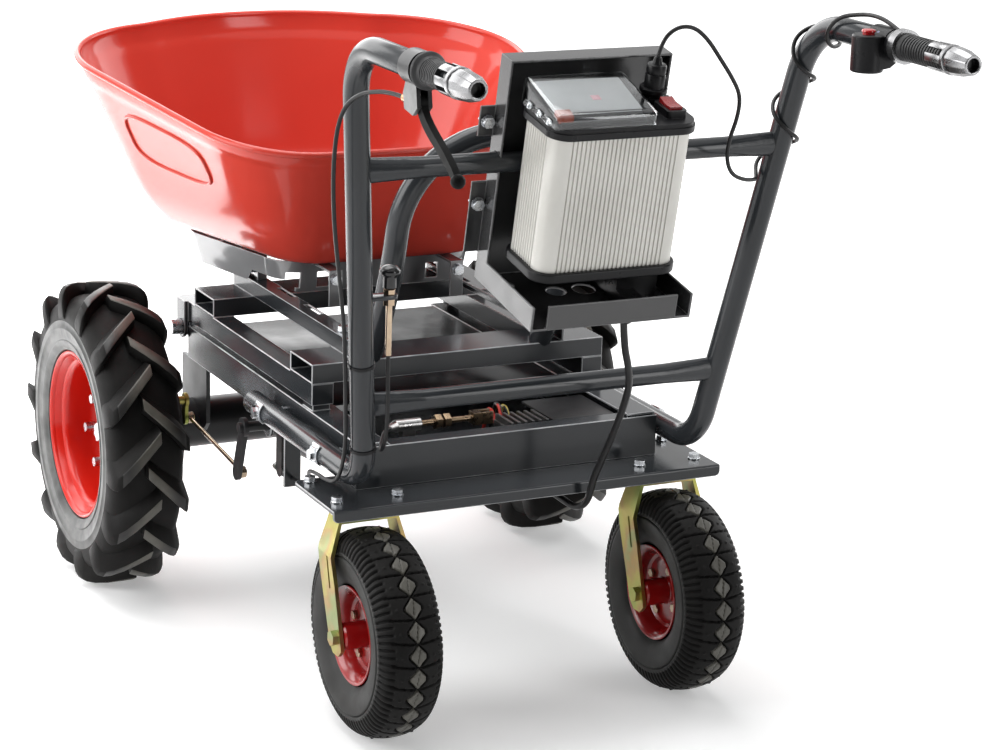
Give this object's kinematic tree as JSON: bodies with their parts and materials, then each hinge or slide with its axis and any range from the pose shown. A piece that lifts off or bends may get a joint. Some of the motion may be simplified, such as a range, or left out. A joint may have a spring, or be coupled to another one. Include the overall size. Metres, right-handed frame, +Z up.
{
  "type": "electric wheelbarrow",
  "caption": "Battery wheelbarrow with a tipping steel tub, driven front wheels, swivel castors behind, raked handlebars with brake lever and twist throttle.",
  "frame": {"origin": "on the floor under the middle of the machine", "axes": "+X to the operator's right, +Y forwards to the tub's nose, +Z up"},
  "size_m": [0.774, 1.4184, 0.9039],
  "materials": {
    "frame_paint": "dark graphite gloss paint",
    "tub_paint": "red gloss paint",
    "rim_paint": "orange red gloss paint",
    "pan_paint": "grey paint",
    "black_paint": "black satin paint",
    "gold_zinc": "yellow zinc plate",
    "zinc": "bright zinc plate",
    "steel": "bare steel",
    "chrome": "polished",
    "alloy": "cast and machined aluminium",
    "case_alloy": "ribbed anodised aluminium",
    "brass": "machined brass",
    "black_rubber": "matt black rubber",
    "tyre": "black tyre rubber",
    "black_plastic": "matt black plastic",
    "clear": "clear moulded cover",
    "red_plastic": "red gloss plastic"
  },
  "bodies": {
    "chassis": {"axle_housing": "black_paint", "battery_bottom_cap": "black_plastic", "battery_bracket": "black_paint", "battery_case": "case_alloy", "battery_dock": "black_plastic", "battery_plug": "black_plastic", "battery_top_cap": "black_plastic", "brake_cable": "black_rubber", "brake_perch": "alloy", "castor_mounts": "gold_zinc", "castor_plate": "frame_paint", "chassis_rail_left": "frame_paint", "chassis_rail_right": "frame_paint", "controller": "alloy", "cover_panel": "black_paint", "frame_bolts": "zinc", "front_member": "frame_paint", "handle_tube_left": "frame_paint", "handle_tube_right": "frame_paint", "knob_tube": "brass", "latch_sleeve": "zinc", "left_grip": "black_rubber", "left_grip_end": "chrome", "lower_crossbar": "frame_paint", "power_lead": "black_rubber", "rear_wall": "frame_paint", "release_cable": "black_rubber", "switch_box": "black_plastic", "throttle_cable": "black_rubber", "throttle_grip_end": "chrome", "upper_crossbar": "frame_paint", "wire_loom": "black_rubber"},
    "drive_wheel_left": {"drive_tyre_left": "tyre", "drive_rim_left": "rim_paint", "drive_hub_left": "zinc"},
    "drive_wheel_right": {"drive_tyre_right": "tyre", "drive_rim_right": "rim_paint", "drive_hub_right": "zinc"},
    "castor_fork_left": {"castor_fork_left": "gold_zinc"},
    "castor_fork_right": {"castor_fork_right": "gold_zinc"},
    "castor_wheel_left": {"castor_tyre_left": "tyre", "castor_rim_left": "rim_paint"},
    "castor_wheel_right": {"castor_tyre_right": "tyre", "castor_rim_right": "rim_paint"},
    "tipper": {"tipper_frame": "frame_paint", "tipping_hoop": "frame_paint", "tub": "tub_paint", "tub_base": "pan_paint", "tub_bolts": "zinc"},
    "battery_lid": {"battery_lid": "clear"},
    "rocker": {"rocker": "black_plastic"},
    "release_knob": {"release_knob": "black_plastic"},
    "latch_bolt": {"latch_bolt": "brass"},
    "brake_lever": {"brake_lever": "black_plastic"},
    "throttle_grip": {"throttle_grip": "black_rubber"},
    "stop_button": {"stop_button": "red_plastic"},
    "brake_shaft": {"brake_shaft": "steel"},
    "brake_wire": {"brake_wire": "steel"},
    "brake_rod": {"brake_rod": "gold_zinc"},
    "brake_arm": {"brake_arm": "steel"}
  },
  "joints": [
    {"name": "drive_wheel_left_spin", "type": "hinge", "parent": "chassis", "child": "drive_wheel_left", "pos_m": [-0.333, 0.39, 0.211], "axis": [1, 0, 0], "continuous": true},
    {"name": "castor_left_swivel", "type": "hinge", "parent": "chassis", "child": "castor_fork_left", "pos_m": [-0.209, -0.195, 0.28], "axis": [0, 0, 1], "continuous": true},
    {"name": "castor_wheel_left_spin", "type": "hinge", "parent": "castor_fork_left", "child": "castor_wheel_left", "pos_m": [-0.209, -0.27, 0.13], "axis": [1, 0, 0], "continuous": true},
    {"name": "drive_wheel_right_spin", "type": "hinge", "parent": "chassis", "child": "drive_wheel_right", "pos_m": [0.333, 0.39, 0.211], "axis": [1, 0, 0], "continuous": true},
    {"name": "castor_right_swivel", "type": "hinge", "parent": "chassis", "child": "castor_fork_right", "pos_m": [0.209, -0.195, 0.28], "axis": [0, 0, 1], "continuous": true},
    {"name": "castor_wheel_right_spin", "type": "hinge", "parent": "castor_fork_right", "child": "castor_wheel_right", "pos_m": [0.209, -0.27, 0.13], "axis": [1, 0, 0], "continuous": true},
    {"name": "tipper_hinge", "type": "hinge", "parent": "chassis", "child": "tipper", "pos_m": [0, 0.415, 0.346], "axis": [-1, 0, 0], "range_deg": [0, 60]},
    {"name": "brake_lever_squeeze", "type": "hinge", "parent": "chassis", "child": "brake_lever", "pos_m": [-0.2973, -0.56, 0.84], "axis": [-1, 0, 0], "range_deg": [0, 25], "stiffness_Nm_per_rad": 0.8},
    {"name": "brake_shaft_turn", "type": "hinge", "parent": "chassis", "child": "brake_shaft", "pos_m": [0, 0.098, 0.29], "axis": [-1, 0, 0], "range_deg": [0, 8]},
    {"name": "brake_rod_pivot", "type": "hinge", "parent": "brake_shaft", "child": "brake_rod", "pos_m": [-0.233, 0.122, 0.22], "axis": [-1, 0, 0], "range_deg": [-10, 0]},
    {"name": "brake_arm_turn", "type": "hinge", "parent": "chassis", "child": "brake_arm", "pos_m": [-0.243, 0.322, 0.266], "axis": [-1, 0, 0], "range_deg": [0, 23]},
    {"name": "brake_wire_pull", "type": "slide", "parent": "chassis", "child": "brake_wire", "axis": [0, -1, 0], "range_m": [0, 0.009]},
    {"name": "throttle_twist", "type": "hinge", "parent": "chassis", "child": "throttle_grip", "pos_m": [0.2973, -0.62, 0.876], "axis": [0, 1, 0], "range_deg": [0, 60], "stiffness_Nm_per_rad": 0.3},
    {"name": "stop_button_press", "type": "slide", "parent": "chassis", "child": "stop_button", "axis": [0, 0, -1], "range_m": [0, 0.002], "stiffness_N_per_m": 900},
    {"name": "rocker_tip", "type": "hinge", "parent": "chassis", "child": "rocker", "pos_m": [0.07, -0.44517, 0.79442], "axis": [1, 0, 0], "range_deg": [-8, 8]},
    {"name": "battery_lid_hinge", "type": "hinge", "parent": "chassis", "child": "battery_lid", "pos_m": [-0.094, -0.43219, 0.79581], "axis": [0, -0.9804, -0.197], "range_deg": [0, 110]},
    {"name": "release_knob_pull", "type": "slide", "parent": "chassis", "child": "release_knob", "axis": [0, 0, 1], "range_m": [0, 0.015], "stiffness_N_per_m": 800},
    {"name": "latch_bolt_draw", "type": "slide", "parent": "chassis", "child": "latch_bolt", "axis": [-1, 0, 0], "range_m": [0, 0.015]}
  ],
  "couplings": [
    {"joint": "brake_shaft_turn", "follows": "brake_lever_squeeze", "ratio": 0.32},
    {"joint": "brake_rod_pivot", "follows": "brake_lever_squeeze", "ratio": -0.361},
    {"joint": "brake_arm_turn", "follows": "brake_lever_squeeze", "ratio": 0.8797},
    {"joint": "brake_wire_pull", "follows": "brake_lever_squeeze", "m_per_rad": 0.0204},
    {"joint": "latch_bolt_draw", "follows": "release_knob_pull", "ratio": 1}
  ]
}
